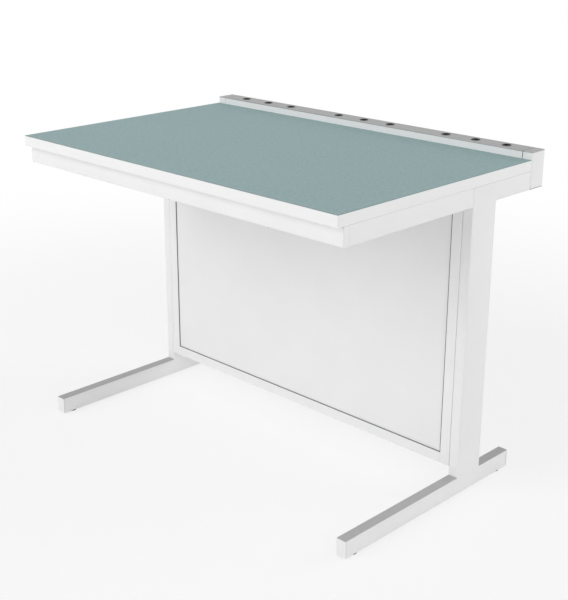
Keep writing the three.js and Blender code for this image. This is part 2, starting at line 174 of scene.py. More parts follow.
laminateLook = dict(fleck=2.2, cloud=9, cloudShare=0.3, drift=260, skin=2.5, relief=0.2, depth=0.5 * mm,
                    rough=(0.48, 0.62), coolCast=(0.97, 0.975, 0.98, 1), warmCast=(1.03, 1.025, 1.02, 1),
                    tones=((0.3, "#809899"), (0.42, "#90a9aa"), (0.46, "#96b0b1"), (0.54, "#96b0b1"),
                           (0.58, "#9cb6b7"), (0.7, "#abc5c6")))


def worktopLaminate():
    # high-pressure laminate, grey-green decor paper under a matt melamine skin: short flecks, lighter and
    # darker, about 0.7 mm on the real sheet and drawn at 2.2 mm so that they show, over a soft cloud of
    # 9 mm; the cast drifts over 260 mm, and the skin's grain is drawn at 2.5 mm
    look = laminateLook
    fixed = {"IOR": 1.52, "Specular IOR Level": 0.16}
    material, tree, shader, place = newMaterial("laminateGreyGreen", fixed)
    fleck = addNode(tree, "ShaderNodeTexNoise", {"Vector": place, "Scale": perMetre(look["fleck"]),
                                                 "Detail": 3.0, "Roughness": 0.65})
    cloud = addNode(tree, "ShaderNodeTexNoise", {"Vector": place, "Scale": perMetre(look["cloud"]),
                                                 "Detail": 2.0})
    drift = addNode(tree, "ShaderNodeTexNoise", {"Vector": place, "Scale": perMetre(look["drift"]),
                                                 "Detail": 2.0})
    skin = addNode(tree, "ShaderNodeTexNoise", {"Vector": place, "Scale": perMetre(look["skin"]),
                                                "Detail": 2.0})
    mixed = addNode(tree, "ShaderNodeMix", {0: look["cloudShare"], 2: fleck.outputs["Fac"],
                                            3: cloud.outputs["Fac"]})
    tones = addNode(tree, "ShaderNodeValToRGB", {"Fac": mixed.outputs[0]})
    stops = tones.color_ramp.elements
    stops.remove(stops[1])  # the one that stays takes the first tone
    stops[0].position = look["tones"][0][0]
    stops[0].color = toLinear(look["tones"][0][1])
    for position, colour in look["tones"][1:]:
        stops.new(position).color = toLinear(colour)
    cast = addNode(tree, "ShaderNodeMix", {0: drift.outputs["Fac"], 6: look["coolCast"],
                                           7: look["warmCast"]}, data_type="RGBA")
    decor = addNode(tree, "ShaderNodeMix", {0: 1.0, 6: tones.outputs["Color"], 7: cast.outputs[2]},
                    data_type="RGBA", blend_type="MULTIPLY")
    tree.links.new(decor.outputs[2], shader.inputs["Base Color"])
    finishSurface(tree, shader, skin.outputs["Fac"], look["rough"], look["relief"], look["depth"])
    return material


# the cover's two tones are painted shade: a white top given as mid grey; the die lines are real
coverLinesAndShade = dict(pitch=1.6, stretch=0.012, span=(0.32, 0.68), tones=("#989899", "#adadad"),
                 rough=(0.46, 0.58), relief=0.25, depth=0.2 * mm)


def anodisedAluminiumPaintedShade():
    # extruded, satin-etched and anodised, with die lines along the profile, about 0.3 mm apart on the real
    # one and drawn at 1.6 mm; its mid grey is painted shade, the shade of a white top
    look = coverLinesAndShade
    material, tree, shader, place = newMaterial("anodisedAluminiumSatinPaintedShade", {"Metallic": 0.65})
    along = addNode(tree, "ShaderNodeMapping", {"Vector": place, "Scale": (look["stretch"], 1.0, 1.0)})
    lines = addNode(tree, "ShaderNodeTexNoise", {"Vector": along.outputs["Vector"],
                                                 "Scale": perMetre(look["pitch"]), "Detail": 4.0,
                                                 "Roughness": 0.6})
    spread = addNode(tree, "ShaderNodeMapRange", {"Value": lines.outputs["Fac"], "From Min": look["span"][0],
                                                  "From Max": look["span"][1]})
    tone = addNode(tree, "ShaderNodeMix", {0: spread.outputs["Result"], 6: toLinear(look["tones"][0]),
                                           7: toLinear(look["tones"][1])}, data_type="RGBA")
    tree.links.new(tone.outputs[2], shader.inputs["Base Color"])
    finishSurface(tree, shader, lines.outputs["Fac"], look["rough"], look["relief"], look["depth"])
    return material


def rawChipboard():
    # pressed wood chips, 5 to 10 mm long, in straw and brown
    material, tree, shader, place = newMaterial("chipboardRaw", {"IOR": 1.45, "Roughness": 0.85})
    chips = addNode(tree, "ShaderNodeTexVoronoi", {"Vector": place, "Scale": perMetre(7)})
    tones = addNode(tree, "ShaderNodeValToRGB", {"Fac": chips.outputs["Color"]})
    for stop, colour in zip(tones.color_ramp.elements, ("#8f7148", "#cfb486")):
        stop.color = toLinear(colour)
    tree.links.new(tones.outputs["Color"], shader.inputs["Base Color"])
    return material


paint = whitePowderCoat()
capWhite = whitePolypropylene()
bandWhite = whiteEdgeBand()
melamine = whiteMelamine()
# a grey that is painted shade of a white top, for the treads and the stubs' caps
shadeGreyVinyl = greyVinylPaintedShade()
seal = greySeal()
nylon = blackNylon()
zinc = zincPlated()
laminate = worktopLaminate()
kraft = phenolicCore()
# mid grey metal that is painted shade of a white top, for the duct's cover
shadeGreyAnodised = anodisedAluminiumPaintedShade()
chipboard = rawChipboard()
print("materials ready")


# surfaces: a form is its points, in metres, and its faces

limits = dict(same=1e-9, merge=1e-7, cornerShare=0.48, sharp=32)  # metres, a share of an edge, degrees
localOrder = {"x": (2, 0, 1), "y": (1, 2, 0), "z": (0, 1, 2)}  # the local axis that x, y and z each take


def turnTo(points, axis):
    # local z becomes the named axis, and the other two follow in turn
    return points[:, localOrder[axis]]


def boxOf(node):
    # lowest and highest corner of a node of the frame
    low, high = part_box(node)
    return np.array(low), np.array(high)


def sizeAlong(node, axis):
    # a node's two sizes across the axis, in the order that turnTo wants, its length along it, and its centre
    low, high = boxOf(node)
    size = (high - low)[np.argsort(localOrder[axis])]
    return size[:2], size[2], (low + high) / 2


def gridFaces(rows, columns, closedRows=False):
    # quads between neighbours of a grid of points; the columns wrap round, and so do closed rows
    r, c = np.meshgrid(np.arange(rows - (not closedRows)), np.arange(columns), indexing="ij")
    r2, c2 = (r + 1) % rows, (c + 1) % columns
    quads = np.stack([r * columns + c, r * columns + c2, r2 * columns + c2, r2 * columns + c], -1)
    return quads.reshape(-1, 4).tolist()


def endFaces(rows, columns):
    # flat ends of a grid of rings: the first ring, turned over, and the last
    last = columns * (rows - 1)
    return [list(range(columns))[::-1], list(range(last, last + columns))]


def softCorners(outline, radius, steps=5):
    # each corner becomes a quadratic curve, from a radius before it to a radius after it; with no radius it
    # stays a point
    corner = np.asarray(outline, float)
    back = np.roll(corner, 1, 0) - corner
    ahead = np.roll(corner, -1, 0) - corner
    backLength = np.linalg.norm(back, axis=1)
    aheadLength = np.linalg.norm(ahead, axis=1)
    room = limits["cornerShare"] * np.minimum(backLength, aheadLength)
    reach = np.minimum(np.broadcast_to(radius, len(corner)), room)
    start = (corner + back * (reach / backLength)[:, None])[:, None]
    end = (corner + ahead * (reach / aheadLength)[:, None])[:, None]
    t = np.linspace(0, 1, steps + 1)[None, :, None]
    curve = ((1 - t) ** 2 * start + 2 * t * (1 - t) * corner[:, None] + t ** 2 * end).reshape(-1, 2)
    return curve[np.linalg.norm(curve - np.roll(curve, 1, 0), axis=1) > limits["same"]]


def extruded(outline, stations, axis, centre):
    # an outline carried to each station along a straight axis, closed by flat ends
    rows, columns = len(stations), len(outline)
    points = np.concatenate([np.tile(outline, (rows, 1)), np.repeat(stations, columns)[:, None]], 1)
    faces = gridFaces(rows, columns) + endFaces(rows, columns)
    return turnTo(points, axis) + np.asarray(centre), faces


def ringLoft(size, corner, profile, axis, centre, hollow=False, steps=6):
    # a rounded rectangle that shrinks by the inset and climbs by the height that the profile gives;
    # a hollow one closes its profile on itself, a full one is closed by flat ends
    profile = np.asarray(profile, float)
    t = np.linspace(0, 1, steps + 1)
    angle = ((np.arange(4)[:, None] + t[None]) * math.pi / 2).reshape(-1)
    sign = np.repeat(np.array([(1, 1), (-1, 1), (-1, -1), (1, -1)], float), steps + 1, 0)
    bend = np.maximum(corner - profile[:, 0], 0)[:, None, None]
    half = np.asarray(size, float)[None, None] / 2 - profile[:, 0][:, None, None]
    flat = sign[None] * (half - bend) + bend * np.stack([np.cos(angle), np.sin(angle)], -1)[None]
    rows, columns = flat.shape[:2]
    points = np.concatenate([flat.reshape(-1, 2), np.repeat(profile[:, 1], columns)[:, None]], 1)
    faces = gridFaces(rows, columns, closedRows=hollow)
    if not hollow:
        faces += endFaces(rows, columns)
    return turnTo(points, axis) + np.asarray(centre), faces


def turned(profile, centre, segments=56, hollow=False, sixSided=None):
    # a profile of radius and height spun round the vertical; sixSided tells which of its rings are hexagons,
    # whose radius falls to the flat's middle and rises to the next corner
    profile = np.asarray(profile, float)
    angle = np.linspace(0, 2 * math.pi, segments, endpoint=False)
    radius = np.repeat(profile[:, :1], segments, 1)
    if sixSided is not None:
        sector = math.pi / 3
        hexagon = math.cos(sector / 2) / np.cos(angle % sector - sector / 2)
        radius = np.where(sixSided[:, None], radius * hexagon[None], radius)
    height = np.repeat(profile[:, 1:], segments, 1)
    points = np.stack([radius * np.cos(angle), radius * np.sin(angle), height], -1).reshape(-1, 3)
    return points + np.asarray(centre), gridFaces(len(profile), segments, closedRows=hollow)


def roundedPlate(outline, thickness, edge, axis, centre, steps=5):
    # an outline with some thickness, its rims rounded: near each flat side every ring of the outline
    # shrinks along a quarter circle, each point on the mitre of its two edges
    ahead = np.roll(outline, -1, 0) - outline
    ahead /= np.linalg.norm(ahead, axis=1)[:, None]
    normal = np.stack([-ahead[:, 1], ahead[:, 0]], 1)
    before = np.roll(normal, 1, 0)
    mitre = (before + normal) / (1 + np.sum(before * normal, 1))[:, None]
    t = np.linspace(0, math.pi / 2, steps + 1)
    inset = edge * (1 - np.sin(t))
    depth = -thickness / 2 + edge * (1 - np.cos(t))
    inset = np.concatenate([inset, inset[::-1]])
    depth = np.concatenate([depth, -depth[::-1]])
    rings = outline[None] + mitre[None] * inset[:, None, None]
    rows, columns = rings.shape[:2]
    points = np.concatenate([rings.reshape(-1, 2), np.repeat(depth, columns)[:, None]], 1)
    faces = gridFaces(rows, columns) + endFaces(rows, columns)
    return turnTo(points, axis) + np.asarray(centre), faces


def joined(*forms):
    # several forms as one: the faces of each count on from the points before it
    points, faces, start = [], [], 0
    for formPoints, formFaces in forms:
        points.append(formPoints)
        faces += [[start + index for index in face] for face in formFaces]
        start += len(formPoints)
    return np.concatenate(points), faces


def makePiece(name, form, material, replaced=(), body=root, sharp=limits["sharp"]):
    # a form as a mesh: points merged, faces turned outwards, edges smooth up to the sharp angle
    mesh = bpy.data.meshes.new(name)
    mesh.from_pydata(form[0].tolist(), [], form[1])
    work = bmesh.new()
    work.from_mesh(mesh)
    bmesh.ops.remove_doubles(work, verts=work.verts, dist=limits["merge"])
    bmesh.ops.dissolve_degenerate(work, edges=work.edges, dist=limits["merge"])
    bmesh.ops.recalc_face_normals(work, faces=work.faces)
    work.to_mesh(mesh)
    work.free()
    mesh.polygons.foreach_set("use_smooth", np.ones(len(mesh.polygons), bool))
    mesh.set_sharp_from_angle(angle=math.radians(sharp))
    mesh.materials.append(material)
    piece = bpy.data.objects.new(name, mesh)
    bpy.context.scene.collection.objects.link(piece)
    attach(piece, body)
    if replaced:
        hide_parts(*replaced)
    return piece


def dressNode(node, material):
    # a node of the frame keeps its shape and takes a material
    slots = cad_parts[node].data.materials
    slots.clear()
    slots.append(material)


# worktop: decor sheet with a thin dark edge, core, backing and four edge bands

worktop = dict(arris=0.3 * mm, underArris=0.1 * mm, corner=0.3 * mm, edgeTilt=0.3, bandEdge=0.6 * mm,
               bandCorner=0.9 * mm)


def makeWorktop():
    # the sheet is a rounded rectangle with both edges broken, and its upright faces show the core paper
    size, thickness, centre = sizeAlong("worktop_laminate", "z")
    half, arris, under = thickness / 2, worktop["arris"], worktop["underArris"]
    profile = [(under, -half), (0, -half + under), (0, half - arris), (arris, half)]
    form = ringLoft(size, worktop["corner"], profile, "z", centre)
    sheet = makePiece("worktop_laminate_sheet", form, laminate, ["worktop_laminate"])
    sheet.data.materials.append(kraft)
    polygons = sheet.data.polygons
    normals = np.zeros(len(polygons) * 3)
    polygons.foreach_get("normal", normals)
    upright = np.abs(normals.reshape(-1, 3)[:, 2]) < worktop["edgeTilt"]
    polygons.foreach_set("material_index", upright.astype(np.int32))
    dressNode("worktop_core", chipboard)
    dressNode("worktop_backing", melamine)


def makeBands():
    # seen from above a band is a long strip; the front and rear ones have the worktop's soft outer corners
    for side, softened in (("front", (1, 1, 0, 0)), ("rear", (0, 0, 1, 1)), ("left", 0), ("right", 0)):
        node = "edge_band_" + side
        low, high = boxOf(node)
        strip = [(low[0], low[1]), (high[0], low[1]), (high[0], high[1]), (low[0], high[1])]
        outline = softCorners(strip, np.multiply(softened, worktop["bandCorner"]))
        middle = (0, 0, (low[2] + high[2]) / 2)
        band = roundedPlate(outline, high[2] - low[2], worktop["bandEdge"], "z", middle)
        makePiece("worktop_band_" + side, band, bandWhite, [node])


# leg frames: foot, post and rear arm are one weldment, and the tubes are set against it

legs = dict(edge=3 * mm, wall=2 * mm, rim=0.5 * mm, rimSteps=5, weld=4 * mm, weldSteps=6, bore=5.4 * mm,
            boreRoom=2 * mm, boreFacets=32)


def makeTube(node, axis, name):
    # a rounded rectangle whose profile goes up the outer wall, over the rim and down the bore
    across, length, centre = sizeAlong(node, axis)
    half, wall, rim = length / 2, legs["wall"], legs["rim"]
    profile = [(rim, -half), (0, -half + rim), (0, half - rim), (rim, half),
               (wall - rim, half), (wall, half - rim), (wall, -half + rim), (wall - rim, -half)]
    form = ringLoft(across, legs["edge"], profile, axis, centre, hollow=True)
    makePiece(name, form, paint, [node])


def bored(form, quad, radius, depth, facets):
    # the square quad gives way to four fields between its sides and a circle, and a round wall rises from
    # the circle by the depth and is closed on top
    points, faces = form
    corners = faces[quad]
    centre = points[corners].mean(0)
    first, second = (points[corners] - centre)[:2, :2]
    way = np.sign(first[0] * second[1] - first[1] * second[0])
    angle = math.atan2(first[1], first[0]) + way * np.linspace(0, 2 * math.pi, facets, endpoint=False)
    rim = centre + radius * np.stack([np.cos(angle), np.sin(angle), 0 * angle], 1)
    ring, quarter = len(points) + np.arange(facets), facets // 4
    arcs = [np.roll(ring, -side * quarter)[quarter::-1].tolist() for side in range(4)]
    fields = [[corners[side], corners[(side + 1) % 4]] + arc for side, arc in enumerate(arcs)]
    wall = (len(points) + np.array(gridFaces(2, facets))).tolist()
    lid = (ring + facets).tolist()
    faces = faces + fields[1:] + wall + [lid]
    faces[quad] = fields[0]
    return np.concatenate([points, rim, rim + (0, 0, depth)]), faces


def makeLeg(side):
    # seen from the side the weldment is one outline; it has the post's width and rounded rims
    footLow, footHigh = boxOf("foot_beam_" + side)
    postLow, postHigh = boxOf("post_" + side)
    armLow, armHigh = boxOf("rear_arm_" + side)
    width, middle, top = postHigh[0] - postLow[0], (postLow[0] + postHigh[0]) / 2, postHigh[2]
    stems = [boxOf("glide_stem_" + end + "_" + side) for end in footEnds]
    reach = width / 2 - legs["edge"]
    # the underside is cut into squares at the glides, where the stems go in
    sole = [((low[1] + high[1]) / 2 + step, footLow[2]) for low, high in stems for step in (-reach, reach)]
    corner = (postHigh[1], armLow[2])  # under the rear arm, with the fillet of a weld
    outline = [(footLow[1], footLow[2]), *sole, (footHigh[1], footLow[2]), (footHigh[1], footHigh[2]),
               (postHigh[1], footHigh[2]), corner, (armHigh[1], armLow[2]), (armHigh[1], top),
               (postLow[1], top), (postLow[1], footHigh[2]), (footLow[1], footHigh[2])]
    weld = np.where(np.arange(len(outline)) == outline.index(corner), legs["weld"], 0)
    smooth = softCorners(outline, weld, legs["weldSteps"])
    form = roundedPlate(smooth, width, legs["edge"], "x", (middle, 0, 0), legs["rimSteps"])
    between = legs["rimSteps"] * len(smooth)  # the first quad of the strip between the two rims
    for square, (low, high) in zip((1, 3), stems):
        depth = high[2] - footLow[2] + legs["boreRoom"]
        form = bored(form, between + square, legs["bore"], depth, legs["boreFacets"])
    makePiece("leg_weldment_" + side, form, paint,
              ["post_" + side, "foot_beam_" + side, "rear_arm_" + side])
    makeTube("front_arm_" + side, "y", "front_arm_tube_" + side)
    makeTube("duct_stub_" + side, "z", "duct_stub_tube_" + side)


# end caps: a flange with a soft rim, and a plug in the tube

caps = dict(flange=2 * mm, soft=0.9 * mm, softSteps=5, inset=2.4 * mm, groove=0.4 * mm, taper=0.7 * mm)


def makeCap(node, axis, outward, material):
    # the profile climbs the tapered plug, steps out to the flange and turns in to its face, a quarter circle
    across, depth, centre = sizeAlong(node, axis)
    soft, inset, groove, taper = caps["soft"], caps["inset"], caps["groove"], caps["taper"]
    face = depth / 2
    seat = face - caps["flange"]
    t = np.linspace(0, math.pi / 2, caps["softSteps"] + 1)
    plug = [(inset + taper, -face), (inset, -face + taper), (inset, seat)]
    brim = [(groove, seat), (0, seat + groove)]
    rim = np.stack([soft * (1 - np.cos(t)), face - soft + soft * np.sin(t)], 1)
    profile = np.concatenate([plug, brim, rim]) * (1, outward)
    form = ringLoft(across, legs["edge"], profile, axis, centre)
    makePiece(node + "_moulding", form, material, [node])


def makeCaps():
    # white ones close the rail and the feet, grey ones the stubs at the ends of the duct; their grey is
    # painted shade, the shade of a white top
    for side, sign in (("left", -1), ("right", 1)):
        makeCap("front_rail_cap_" + side, "x", sign, capWhite)
        makeCap("foot_cap_front_" + side, "y", -1, capWhite)
        makeCap("foot_cap_rear_" + side, "y", 1, capWhite)
        makeCap("stub_cap_top_" + side, "z", 1, shadeGreyVinyl)
        makeCap("stub_cap_bottom_" + side, "z", -1, shadeGreyVinyl)


# treads: soft strips with shallow ribs along them, in a grey that is painted shade of a white top

treads = dict(round=1.0 * mm, ribPitch=3.5 * mm, ribDepth=0.5 * mm, points=97, sharp=50)


def makeTread(node):
    # the top sinks by a raised cosine of the rib pitch, and falls off in a quarter circle at both sides
    (height, width), length, centre = sizeAlong(node, "y")
    half, soft = width / 2, treads["round"]
    across = np.linspace(-1, 1, treads["points"]) * half
    rib = treads["ribDepth"] * (0.5 - 0.5 * np.cos(2 * math.pi * across / treads["ribPitch"]))
    side = np.clip(np.abs(across) - (half - soft), 0, soft)
    fall = soft - np.sqrt(soft ** 2 - side ** 2)
    top = height / 2 - np.maximum(rib, fall)
    section = np.concatenate([np.stack([top, across], 1), [(-height / 2, half), (-height / 2, -half)]])
    form = extruded(section, [-length / 2, length / 2], "y", centre)
    makePiece(node + "_strip", form, shadeGreyVinyl, [node], sharp=treads["sharp"])


# levelling glides

glide = dict(fit=0.3 * mm, seat=0.25 * mm, sole=0.9 * mm, brim=0.5 * mm, padSteps=6, head=1 * mm,
             headSoft=0.25 * mm, thread=5 * mm, tooth=0.8 * mm, pitch=1.5 * mm, tip=1.2 * mm, rowsPerPitch=8,
             segments=32)


def stemForm(headRadius, length, centre):
    # rings of a soft-edged head, and on it the thread: its radius dips by a rounded tooth as height and
    # angle advance together along the helix, and the upper end tapers
    head, radius, count = glide["head"], glide["thread"], glide["segments"]
    disc = [(0, 0), (headRadius, 0), (headRadius, head), (0, head)]
    rim = softCorners(disc, [0, glide["headSoft"], glide["headSoft"], 0])[1:-1]
    rows = int((length - head) / glide["pitch"] * glide["rowsPerPitch"])
    height = np.linspace(head, length, rows + 1)[:, None]
    angle = np.linspace(0, 2 * math.pi, count, endpoint=False)[None]
    tooth = 0.5 - 0.5 * np.cos(2 * math.pi * height / glide["pitch"] - angle)
    taper = np.clip(height - (length - glide["tip"]), 0, None)
    thread = np.minimum(radius - glide["tooth"] * tooth, radius - taper)
    spin = np.concatenate([np.repeat(rim[:, :1], count, 1), thread])
    climb = np.concatenate([rim[:, 1:], height]) + 0 * angle
    points = np.stack([spin * np.cos(angle), spin * np.sin(angle), climb], -1).reshape(-1, 3)
    return points + np.asarray(centre), gridFaces(len(spin), count) + endFaces(len(spin), count)


def makeGlide(place):
    # the pad is a soft-edged disc with a recess for the stem's head, spun from its profile
    body = "glide_" + place
    low, high = boxOf("glide_pad_" + place)
    stemLow, stemHigh = boxOf("glide_stem_" + place)
    x, y = (low + high)[:2] / 2
    radius, height = (high[0] - low[0]) / 2, high[2] - low[2]
    headRadius = (stemHigh[0] - stemLow[0]) / 2
    recess, floor = headRadius + glide["fit"], stemLow[2] - low[2] - glide["seat"]
    corners = [(0, 0), (radius, 0), (radius, height), (recess, height), (recess, floor), (0, floor)]
    rounds = [0, glide["sole"], glide["brim"], glide["seat"], glide["seat"], 0]
    pad = turned(softCorners(corners, rounds, glide["padSteps"]), (x, y, low[2]))
    makePiece("glide_pad_moulding_" + place, pad, nylon, ["glide_pad_" + place], body=body)
    stem = stemForm(headRadius, stemHigh[2] - stemLow[2], (x, y, stemLow[2]))
    makePiece("glide_stem_threaded_" + place, stem, zinc, ["glide_stem_" + place],
              body=body)
    dressNode("glide_nut_" + place, zinc)


# modesty panel: grooved frame round a board, with a gasket on both faces

panel = dict(lip=2 * mm, groove=8 * mm, grooveWidth=11 * mm, edge=0.8 * mm, edgeSteps=4,
             rounds=(1, 0.6, 0.3, 0.2, 0.2, 0.5, 1, 1), sealWidth=2.4 * mm, sealHeight=2.3 * mm,
             sealSoft=0.6 * mm)


def makeProfile(node, axis, inward):
    # the section, counted from its outer side and from the front, is centred, turned with its groove inwards
    # and carried along the axis
    across, length, centre = sizeAlong(node, axis)
    upright = axis == "z"
    width, depth = across if upright else across[::-1]
    lip, floor = panel["lip"], width - panel["groove"]
    back = lip + panel["grooveWidth"]
    corners = [(0, 0), (width, 0), (width, lip), (floor, lip), (floor, back), (width, back), (width, depth),
               (0, depth)]
    section = (np.array(corners) - (width / 2, depth / 2)) * (inward, 1)
    rounds = np.multiply(panel["rounds"], panel["edge"])
    outline = softCorners(section if upright else section[:, ::-1], rounds, panel["edgeSteps"])
    form = extruded(outline, [-length / 2, length / 2], axis, centre)
    makePiece(node + "_profile", form, paint, [node])


def makeSeals():
    # a gasket in the corner between frame and board: a soft-cornered rectangle, carried round the opening
    left, right = boxOf("panel_stile_left")[1][0], boxOf("panel_stile_right")[0][0]
    bottom, top = boxOf("panel_rail_bottom")[1][2], boxOf("panel_rail_top")[0][2]
    wide, soft = panel["sealWidth"], panel["sealSoft"]
    rings = []
    for boardCorner, outward in zip(boxOf("panel_infill"), (-1, 1)):
        proud = outward * panel["sealHeight"]
        section = softCorners([(0, 0), (wide, 0), (wide, proud), (0, proud)], soft)
        centre = ((left + right) / 2, boardCorner[1], (bottom + top) / 2)
        rings.append(ringLoft((top - bottom, right - left), soft, section, "y", centre, hollow=True))
    makePiece("panel_seals", joined(*rings), seal)


def makePanel():
    # the stiles' grooves face each other, and so do the rails'
    makeProfile("panel_stile_left", "z", 1)
    makeProfile("panel_stile_right", "z", -1)
    makeProfile("panel_rail_bottom", "x", 1)
    makeProfile("panel_rail_top", "x", -1)
    dressNode("panel_infill", melamine)
    makeSeals()


# service duct: folded trough, extruded cover, bushes

duct = dict(wall=2 * mm, innerBend=2 * mm, tip=0.4 * mm, foldSteps=8, plate=2 * mm, plateGap=0.1 * mm,
            endGap=0.9 * mm, lip=12 * mm, lipGap=0.5 * mm, cover=2 * mm, edge=0.7 * mm, edgeSteps=4,
            rounds=(0.3, 0.5, 0.5, 0.3, 0.5, 1), patch=20 * mm, cells=8, hole=10.25 * mm)


def makeTrough():
    # a folded channel, and near each end a plate between its walls, as high as the cover's lips allow
    across, length, centre = sizeAlong("duct_trough", "x")
    length -= 2 * duct["endGap"]
    y, z = across / 2
    wall, tip, inner = duct["wall"], duct["tip"], duct["innerBend"]
    corners = [(-y, z), (-y, -z), (y, -z), (y, z), (y - wall, z), (y - wall, -z + wall),
               (-y + wall, -z + wall), (-y + wall, z)]
    rounds = [tip, inner + wall, inner + wall, tip, tip, inner, inner, tip]
    folded = softCorners(corners, rounds, duct["foldSteps"])
    channel = extruded(folded, [-length / 2, length / 2], "x", centre)
    clear, half = wall + duct["plateGap"], duct["plate"] / 2
    top, foot = z - duct["lip"] - duct["lipGap"], -z + clear
    plates = [ringLoft((2 * (y - clear), top - foot), inner, [(0, -half), (0, half)], "x",
                       centre + (sign * (length / 2 - half), 0, (top + foot) / 2)) for sign in (-1, 1)]
    makePiece("duct_trough_channel", joined(channel, *plates), paint, ["duct_trough"])


def bushNodes():
    # the bushes of the outlets, by name
    return sorted(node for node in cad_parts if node.startswith("outlet_bush_"))


def holePatch(x, y, top, under):
    # a square of the plate with a round hole: rays from the square's edge to the hole's rim above, down the
    # hole's wall and back to the edge below
    step = np.linspace(-1, 1, duct["cells"] + 1)[:-1]
    ones = np.ones(len(step))
    edges = ((step, -ones), (ones, step), (-step, ones), (-ones, -step))
    square = np.concatenate([np.stack(edge, 1) for edge in edges]) * duct["patch"]
    rim = square / np.linalg.norm(square, axis=1)[:, None] * duct["hole"]
    middle = (square + rim) / 2
    rings = np.stack([square, middle, rim, rim, middle, square])
    height = np.repeat([top, top, top, under, under, under], len(square))
    points = np.concatenate([rings.reshape(-1, 2) + (x, y), height[:, None]], 1)
    return points, gridFaces(len(rings), len(square))


def makeCover():
    # the section is a flat top with a lip under each side, carried along the duct; round each outlet the
    # middle of the top is left out, and a square with a hole takes its place
    low, high = boxOf("duct_cover")
    y, middle, top = (high[1] - low[1]) / 2, (low[1] + high[1]) / 2, high[2]
    sheet, patch = duct["cover"], duct["patch"]
    lipOut = y - duct["wall"] - duct["lipGap"]
    lipIn = lipOut - sheet
    lipEnd = -sheet - duct["lip"]
    half = np.array([(lipIn, -sheet), (lipIn, lipEnd), (lipOut, lipEnd), (lipOut, -sheet), (y, -sheet),
                     (y, 0)])
    cells = np.linspace(-patch, patch, duct["cells"] + 1)
    above = np.stack([cells, 0 * cells], 1)
    below = above[::-1] - (0, sheet)
    rounds = np.multiply(duct["rounds"], duct["edge"])
    outline = softCorners(np.concatenate([half * (-1, 1), above, half[::-1], below]),
                          np.concatenate([rounds, 0 * cells, rounds[::-1], 0 * cells]), duct["edgeSteps"])
    outlets = np.sort([sum(boxOf(node))[0] / 2 for node in bushNodes()])
    atOutlets = (outlets[:, None] + cells).reshape(-1)
    stations = np.concatenate([[low[0] + duct["endGap"]], atOutlets, [high[0] - duct["endGap"]]])
    points, faces = extruded(outline, stations, "x", (0, middle, top))
    within = np.abs(outline[:, 0]) <= patch + limits["same"]
    band = within & np.roll(within, -1)
    spans = (stations[:-1] + stations[1:]) / 2
    nearOutlet = np.min(np.abs(spans[:, None] - outlets), 1) < patch
    kept = ~(nearOutlet[:, None] & band).reshape(-1)
    faces = [face for face, stays in zip(faces, kept) if stays] + faces[len(kept):]
    patches = [holePatch(x, middle, top, top - sheet) for x in outlets]
    # the cover's mid grey is painted shade of a white top
    makePiece("duct_cover_profile", joined((points, faces), *patches), shadeGreyAnodised,
              ["duct_cover"], body="duct_cover")


bush = dict(bore=8 * mm, sleeve=10 * mm, flange=12.5 * mm, rim=1.5 * mm, rimGap=0.05 * mm, length=24 * mm,
            snap=1 * mm, seat=0.25 * mm, soft=0.6 * mm, softSteps=6,
            rounds=(0.5, 0.8, 0.3, 0.3, 0.2, 0.2, 0.15, 1.6, 1.8))


def makeBush(node):
    # sleeve, snap ridge, flange and bore as one closed profile, spun; heights count from the cover's top
    low, high = boxOf(node)
    x, y = (low + high)[:2] / 2
    sleeve, flange, bore = bush["sleeve"], bush["flange"], bush["bore"]
    seat, snap, rim, end = bush["seat"], bush["snap"], bush["rim"], -bush["length"]
    ridge = -duct["cover"] - seat
    corners = [(bore, end), (sleeve, end), (sleeve, ridge - 2 * snap), (sleeve + seat + snap, ridge),
               (sleeve, ridge), (sleeve, seat), (flange, bush["rimGap"]), (flange, rim), (bore, rim)]
    profile = softCorners(corners, np.multiply(bush["rounds"], bush["soft"]), bush["softSteps"])
    form = turned(profile, (x, y, high[2] - rim), hollow=True)
    makePiece(node + "_moulding", form, nylon, [node], body="duct_cover")


# fasteners: pan heads with a hexagon socket, under the arms and the rail, behind the panel's board and on
# the ends of the trough; they stand at shares of what they hold, and in the trough at heights

screw = dict(radius=5 * mm, height=2.6 * mm, sideShare=0.3, domeSteps=5, socket=2.3 * mm,
             socketDepth=1.6 * mm, flatTop=1.5, mouth=1.12, mouthDepth=0.2 * mm, segments=36,
             frontArm=(0.14, 0.86), rearArm=(0.5,), rail=(0.2, 0.5, 0.8), stile=(0.12, 0.5, 0.88),
             troughLift=(25 * mm, 60 * mm))


def screwForm(centre, axis, sign):
    # a short side, a quarter ellipse to the flat top, and a socket whose four rings are six-sided, spun;
    # the flat top and the mouth are given in radii of the socket
    radius, height, socket = screw["radius"], screw["height"], screw["socket"]
    side, flat = screw["sideShare"] * height, screw["flatTop"] * socket
    floor = height - screw["socketDepth"]
    t = np.linspace(0, math.pi / 2, screw["domeSteps"] + 1)
    dome = np.stack([radius - (radius - flat) * (1 - np.cos(t)), side + (height - side) * np.sin(t)], 1)
    hexagon = [(screw["mouth"] * socket, height), (socket, height - screw["mouthDepth"]), (socket, floor),
               (0, floor)]
    profile = np.concatenate([[(0, 0), (radius, 0)], dome, hexagon])
    sixSided = np.arange(len(profile)) >= len(profile) - len(hexagon)
    points, faces = turned(profile, (0, 0, 0), screw["segments"], sixSided=sixSided)
    return turnTo(points * (1, 1, sign), axis) + np.asarray(centre), faces


def makeScrews(name, places, axis, sign):
    # one head at each place, standing out along the axis
    heads = [screwForm(place, axis, sign) for place in places]
    makePiece(name, joined(*heads), zinc)


